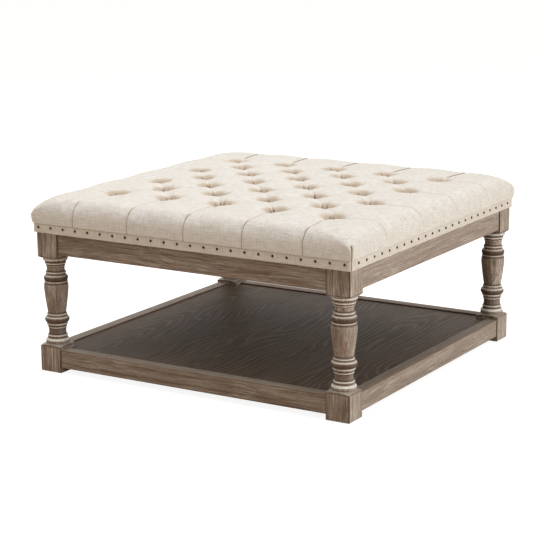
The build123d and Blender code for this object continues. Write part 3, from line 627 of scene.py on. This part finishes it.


# The leg's turned length: how pale or dark it is at each height, 0.5 where it is even. It is pale on the
# ledges, with lime wash and a painted highlight, and dark down in the grooves with painted shade.
lathe_wash_light_shade = (
    (0.0730, 0.25), (0.0790, 0.45), (0.0850, 0.55), (0.0885, 0.95), (0.0920, 0.95), (0.0945, 0.05),
    (0.0980, 0.60), (0.1014, 1.00), (0.1030, 0.10), (0.1070, 0.28), (0.1180, 0.26), (0.1203, 0.05),
    (0.1225, 1.00), (0.1260, 0.05), (0.1300, 0.55), (0.1333, 1.00), (0.1352, 0.10), (0.1390, 0.12),
    (0.1465, 0.20), (0.1505, 1.00), (0.1538, 0.05), (0.1585, 1.00), (0.1615, 0.15), (0.1690, 0.50),
), (
    (0.2390, 0.50), (0.2453, 0.08), (0.2485, 1.00), (0.2507, 0.10), (0.2550, 0.10), (0.2610, 0.18),
    (0.2655, 1.00), (0.2687, 0.05), (0.2740, 1.00), (0.2770, 0.10), (0.2820, 0.50), (0.2880, 0.44),
    (0.2898, 0.08), (0.2915, 0.90), (0.2947, 0.05), (0.2995, 1.00), (0.3038, 0.05), (0.3080, 0.60),
    (0.3122, 1.00), (0.3155, 0.15),
)


def lathe_bands(p, colour, z, ragged):
    """The wash, painted highlights and painted shade on the turned length of a leg."""
    height_here = p.plus(z, p.times(p.minus(ragged, 0.5), 0.0012))
    for table in lathe_wash_light_shade:
        low, high = table[0][0], table[-1][0]
        ramp = p.add("ShaderNodeValToRGB", {"Fac": p.span(height_here, low, high, kind="LINEAR")})
        stops = ramp.color_ramp.elements
        for count, (level, tone) in enumerate(table):
            share = (level - low) / (high - low)
            stop = stops[count] if count < 2 else stops.new(share)
            stop.position = share
            stop.color = (tone, tone, tone, 1)
        tone = ramp.outputs["Color"]
        inside = p.between(z, low, high)
        # Pale on the ledges: lime wash and a painted highlight; dark in the grooves: painted shade
        pale = p.times(p.span(tone, 0.62, 0.95), p.span(ragged, 0.30, 0.50, 0.6, 1.0))
        dark = p.span(tone, 0.48, 0.08)
        colour = p.mix(p.times(p.times(pale, inside), 0.95), colour, rgb(250, 246, 240))
        colour = p.mix(p.times(p.times(dark, inside), 0.90), colour, rgb(74, 50, 33))
    return colour


def leg_wear_and_top_light(p, colour, x, y, z, ragged, facing_up):
    """The blocks of a leg, rubbed through on their arrises and ends, and with light painted on top."""
    edge_x = p.size(p.minus(p.size(x), leg_axis))
    edge_y = p.size(p.minus(p.size(y), leg_axis))
    arris = p.span(p.plus(p.least(edge_x, edge_y), p.times(ragged, 0.0030)), *block_arris)
    level = p.least(p.size(p.minus(z, block_ends[0])), p.size(p.minus(z, block_ends[1])))
    end = p.span(p.plus(level, p.times(ragged, 0.0024)), 0.0034, 0.0012)
    on_block = p.minus(1.0, p.between(z, *lathe_span))
    rubbed = p.times(p.most(arris, end), on_block)
    colour = p.mix(p.times(rubbed, 0.85), colour, rgb(76, 50, 33))
    # Painted light: faces turned upward are paler
    return p.mix(p.span(facing_up, 0.6, 0.9, 0.0, 0.6), colour, rgb(206, 195, 182))


def rail_wear_light_and_shade(p, colour, along, across, z, ragged, facing_up):
    """Rails: rubbed through along their edges, with light painted on top, and shade painted inside and where
    they meet the legs.
    """
    joint_shade = p.span(p.size(along), *rail_joint, 0.0, 0.85)
    outer = p.span(p.size(across), *rail_outer, 0.0, 0.01)
    inner = p.span(p.size(across), *rail_inner, 0.0, 0.75)
    from_apron = p.size(p.minus(z, apron_foot))
    from_top = p.plus(p.size(p.minus(z, shelf_rail_top)), outer)
    from_foot = p.size(p.minus(z, shelf_rail_foot))
    nearest = p.least(p.least(from_apron, from_top), from_foot)
    rim = p.span(p.plus(nearest, p.times(ragged, 0.003)), 0.0042, 0.0018, 0.0, 0.55)
    colour = p.mix(rim, colour, rgb(132, 90, 60))
    # Painted light: faces turned upward are paler
    colour = p.mix(p.span(facing_up, 0.6, 0.9, 0.0, 0.4), colour, rgb(170, 158, 145))
    # Painted shade on the inner faces, and at the joints with the legs
    colour = p.mix(inner, colour, rgb(92, 58, 36))
    return p.mix(joint_shade, colour, rgb(48, 35, 26))


def grain_run(x, y, z, along):
    """The coordinates with the one along the grain last."""
    return {"x": (y, z, x), "y": (x, z, y), "z": (x, y, z)}[along]


def oak(name, along, wash=0.5, turned=False):
    """Grey-brown oak, limed and rubbed back. along is the axis of the grain."""
    p = Paint(name)
    place = p.place()
    x, y, z = p.split(place)
    run = grain_run(x, y, z, along)
    stock = p.join(*run)
    # The grain wanders a little off its axis
    drift = p.times(p.minus(p.noise(stock, (9, 9, 2.6), 2.0, 0.5), 0.5), 0.03)
    grain = p.join(p.plus(run[0], drift), p.plus(run[1], drift), run[2])
    bands = p.noise(grain, (120, 120, 3.0), 4.0, 0.6, 0.5)
    streaks = p.noise(grain, (520, 520, 11), 3.0, 0.65)
    pores = p.span(p.noise(grain, (1100, 1100, 45), 2.0, 0.6, shift=(3, 8, 1)), 0.55, 0.68)
    patches = p.noise(stock, (26, 26, 9), 4.0, 0.62, shift=(4, 2, 9))
    worn = p.span(p.noise(stock, (34, 34, 12), 4.0, 0.65, shift=(1, 5, 2)), 0.58, 0.74)
    fleck = p.noise(place, (420, 420, 420), 3.0, 0.7)
    ragged = p.noise(place, (210, 210, 210), 3.0, 0.6)
    facing = p.split(p.add("ShaderNodeNewGeometry").outputs["Normal"])
    colour = p.mix(p.span(bands, 0.36, 0.66), rgb(121, 102, 87), rgb(162, 145, 130))
    colour = p.mix(p.span(streaks, 0.48, 0.74, 0.0, 0.75), colour, rgb(100, 80, 65))
    # The wash lies in streaks and patches, and light is painted onto faces to the left and the right
    painted_side_light = p.span(p.size(facing[0]), 0.6, 0.95, 0.0, 0.22)
    patchy = p.times(p.span(patches, 0.36, 0.66), wash)
    limed = p.plus(p.times(p.span(streaks, 0.54, 0.36), patchy), painted_side_light)
    colour = p.mix(limed, colour, rgb(216, 207, 196))
    colour = p.mix(p.times(pores, 0.5), colour, rgb(84, 64, 50))
    colour = p.mix(p.span(fleck, 0.52, 0.70, 0.0, 0.55), colour, rgb(96, 77, 62))
    colour = p.mix(p.times(worn, 0.35), colour, rgb(146, 108, 78))
    if turned:
        colour = lathe_bands(p, colour, z, ragged)
        colour = leg_wear_and_top_light(p, colour, x, y, z, ragged, facing[2])
    else:
        colour = rail_wear_light_and_shade(p, colour, run[2], x if along == "y" else y, z, ragged, facing[2])
    height = p.plus(p.times(streaks, 0.5), p.plus(p.times(pores, -0.6), p.times(fleck, 0.35)))
    rough = p.span(patches, 0.3, 0.7, 0.62, 0.78)
    return p.finish(colour, rough, p.bump(height, 0.0010, 0.6), Specular_IOR_Level=0.3)


def veneer():
    """Dark oak veneer with cathedral figure along the shelf, leaf beside leaf."""
    p = Paint("veneer")
    x, y, _ = p.split(p.place())

    def scaled(scale_x, scale_y, layer=0.0):
        return p.join(p.times(x, scale_x), p.times(y, scale_y), layer)

    bend = p.noise(scaled(4.0, 1.3), 1.0, 2.5, 0.5)
    leaf_width, apex, taper, ring_width = 0.31, 0.7, 0.006, 0.0125
    leaf = p.size(p.minus(p.math("MODULO", p.plus(x, 2.03), leaf_width), leaf_width / 2))
    # Each leaf's rings open along it: nested arches, not stripes
    length = p.plus(y, apex)
    cone = p.math("SQRT", p.plus(p.times(leaf, leaf), p.times(p.times(length, length), taper)))
    rings = p.waves(p.plus(cone, p.times(bend, 0.20)), ring_width)
    fine = p.noise(scaled(420.0, 12.0), 1.0, 3.0, 0.6)
    pores = p.span(p.noise(scaled(900.0, 40.0, 4.0), 1.0, 2.0, 0.6), 0.53, 0.68)
    tone = p.noise(scaled(8.0, 2.0, 2.0), 1.0, 3.0, 0.6)
    colour = p.mix(p.span(rings, 0.1, 0.95), rgb(86, 70, 54), rgb(120, 101, 82))
    colour = p.mix(p.span(fine, 0.42, 0.62, 0.0, 0.7), colour, rgb(74, 59, 46))
    colour = p.mix(p.times(pores, 0.65), colour, rgb(40, 31, 24))
    colour = p.mix(p.span(tone, 0.35, 0.7, 0.0, 0.3), colour, rgb(118, 100, 82))
    height = p.plus(p.times(rings, 0.15), p.times(pores, -0.6))
    rough = p.span(fine, 0.3, 0.7, 0.50, 0.62)
    return p.finish(colour, rough, p.bump(height, 0.0006, 0.5), Specular_IOR_Level=0.12)


def plain_wood(name, along, light, dark):
    p = Paint(name)
    stock = p.join(*grain_run(*p.split(p.place()), along))
    bands = p.noise(stock, (120, 120, 4), 3.0, 0.6, 0.5)
    fibre = p.noise(stock, (500, 500, 14), 2.0, 0.6)
    colour = p.mix(p.span(bands, 0.35, 0.65), dark, light)
    colour = p.mix(p.span(fibre, 0.5, 0.8, 0.0, 0.5), colour, dark)
    return p.finish(colour, p.span(fibre, 0.3, 0.7, 0.6, 0.75), p.bump(fibre, 0.0006, 0.5))


def metal(name, base, spots, rough, metallic=1.0):
    p = Paint(name)
    place = p.place()
    stain = p.noise(place, 260.0, 3.0, 0.6)
    brush = p.noise(place, 1040.0, 2.0, 0.6)
    colour = p.mix(p.span(stain, 0.4, 0.65), base, spots)
    worn = p.span(stain, 0.3, 0.7, rough, rough + 0.15)
    return p.finish(colour, worn, p.bump(brush, 0.0002, 0.4), Metallic=metallic)


def cloth_plain(name, light, dark, size):
    p = Paint(name)
    place = p.place()
    x, y, _ = p.split(place)
    weave = p.times(p.waves(x, size), p.waves(y, size))
    fuzz = p.noise(place, 300.0, 3.0, 0.6)
    colour = p.mix(p.span(p.plus(p.times(weave, 0.25), fuzz), 0.2, 0.8), dark, light)
    rough = p.span(fuzz, 0.3, 0.7, 0.85, 0.95)
    return p.finish(colour, rough, p.bump(p.plus(weave, fuzz), 0.0004, 0.5), Specular_IOR_Level=0.2)


linen_material = linen()
oak_x, oak_y, oak_leg = oak("oak_x", "x"), oak("oak_y", "y"), oak("oak_leg", "z", 0.95, True)
pine_x = plain_wood("pine_x", "x", rgb(206, 172, 125), rgb(178, 138, 92))
pine_y = plain_wood("pine_y", "y", rgb(206, 172, 125), rgb(178, 138, 92))
zinc = metal("zinc_steel", rgb(150, 150, 150), rgb(178, 178, 176), 0.35)

# The look of the CAD nodes, by how their names begin
looks = (
    (("leg_",), oak_leg),
    (("apron_front", "apron_rear", "shelf_rail_front", "shelf_rail_rear"), oak_x),
    (("apron_left", "apron_right", "shelf_rail_left", "shelf_rail_right"), oak_y),
    (("shelf_panel",), veneer()),
    (("nails_",), metal("bronze_nail", rgb(62, 47, 37), rgb(104, 78, 54), 0.34)),
    (("foam_pad", "edge_padding"), cloth_plain("foam", rgb(236, 230, 210), rgb(222, 212, 186), 0.003)),
    (("dust_cover",), cloth_plain("dust_cloth", rgb(34, 33, 33), rgb(20, 20, 20), 0.0016)),
    (("tuft_ties",), cloth_plain("twine", rgb(214, 200, 172), rgb(186, 170, 140), 0.0012)),
    (("deck_board",), plain_wood("plywood", "x", rgb(204, 173, 130), rgb(176, 142, 100))),
    (("foot_glides",), metal("nylon", rgb(38, 35, 32), rgb(50, 46, 42), 0.5, 0.0)),
    (("hanger_", "tie_washers"), zinc),
)


def look_of(name):
    for starts, material in looks:
        if name.startswith(starts):
            return material
    if name.endswith("_screws"):
        return zinc
    return pine_y if name.endswith(("_left", "_right")) else pine_x


for name in nodes:
    materials = nodes[name].data.materials
    materials.clear()
    materials.append(look_of(name))

cushion = make_cushion()
cushion.data.materials.append(linen_material)
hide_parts("cushion_cover")
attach(cushion, "root")

hem = make_hem()
hem.data.materials.append(linen_material)
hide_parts("cover_hem")
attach(hem, "root")

# Floor: white to the camera apart from the table's shadow, and sand-coloured in what it throws back
floor_mesh = bpy.data.meshes.new("floor")
floor_mesh.from_pydata([(-30, -30, 0), (30, -30, 0), (30, 30, 0), (-30, 30, 0)], [], [(0, 1, 2, 3)])
floor = link("floor", floor_mesh)
p = Paint("floor")
to_camera = p.add("ShaderNodeLightPath").outputs["Is Camera Ray"]
plain = p.add("ShaderNodeBsdfDiffuse", {"Color": (0.82, 0.73, 0.63, 1)}).outputs[0]
glow = p.add("ShaderNodeEmission", {"Color": (1, 1, 1, 1), "Strength": 0.90}).outputs[0]
pale = p.add("ShaderNodeBsdfDiffuse", {"Color": (0.36, 0.36, 0.36, 1)}).outputs[0]
seen = p.add("ShaderNodeAddShader", {0: glow, 1: pale}).outputs[0]
p.end(p.add("ShaderNodeMixShader", {0: to_camera, 1: plain, 2: seen}).outputs[0])
floor.data.materials.append(p.material)

# World: white where it is seen, straight, mirrored or through something, and dimmer and warm as light
world = bpy.data.worlds.new("world")
bpy.context.scene.world = world
world.use_nodes = True
sky = Graph(world.node_tree)
rays = sky.add("ShaderNodeLightPath").outputs
in_sight = sky.most(sky.most(rays["Is Camera Ray"], rays["Is Glossy Ray"]), rays["Is Transmission Ray"])
shown = sky.add("ShaderNodeBackground", {"Color": (1, 1, 1, 1), "Strength": 1.0}).outputs[0]
light = sky.add("ShaderNodeBackground", {"Color": (1.0, 0.82, 0.67, 1), "Strength": 0.325}).outputs[0]
sky.end(sky.add("ShaderNodeMixShader", {0: in_sight, 1: light, 2: shown}).outputs[0], "ShaderNodeOutputWorld")

# Lamps: name, place, what they point at, side and power
for name, place, aim, size, power in (
    ("right", (6.0, -0.2, 1.7), (0.0, 0.0, 0.35), 2.4, 194),
    ("above", (-0.6, -0.4, 3.4), (-0.1, 0.0, 0.45), 3.2, 87),
    ("rear", (-1.6, 2.6, 3.0), (-0.1, 0.0, 0.45), 2.0, 28),
):
    lamp = bpy.data.lights.new(name, "AREA")
    lamp.shape, lamp.size = "SQUARE", size
    lamp.energy = power
    lamp.color = (0.92, 0.97, 1.0)
    placed = link(name, lamp)
    placed.location = place
    placed.rotation_euler = (Vector(aim) - Vector(place)).to_track_quat("-Z", "Y").to_euler()

# Camera: where the photograph's was, by a fit to the corners of the table
azimuth, elevation, roll = math.radians(31.14), math.radians(12.90), math.radians(-0.31)
back = Vector((
    math.sin(azimuth) * math.cos(elevation),
    -math.cos(azimuth) * math.cos(elevation),
    math.sin(elevation),
))
right = (-back).cross(Vector((0, 0, 1))).normalized()
upward = right.cross(-back)
turned_right = right * math.cos(roll) + upward * math.sin(roll)
turned_up = upward * math.cos(roll) - right * math.sin(roll)
camera_data = bpy.data.cameras.new("camera")
camera_data.lens, camera_data.sensor_width = 117.01, 36.0
camera_data.clip_end = 100.0
camera = link("camera", camera_data)
matrix = Matrix((turned_right, turned_up, back)).transposed().to_4x4()
matrix.translation = Vector((2.428, -4.078, 1.327))
camera.matrix_world = matrix
bpy.context.scene.camera = camera
bpy.context.scene.view_settings.view_transform = "Standard"
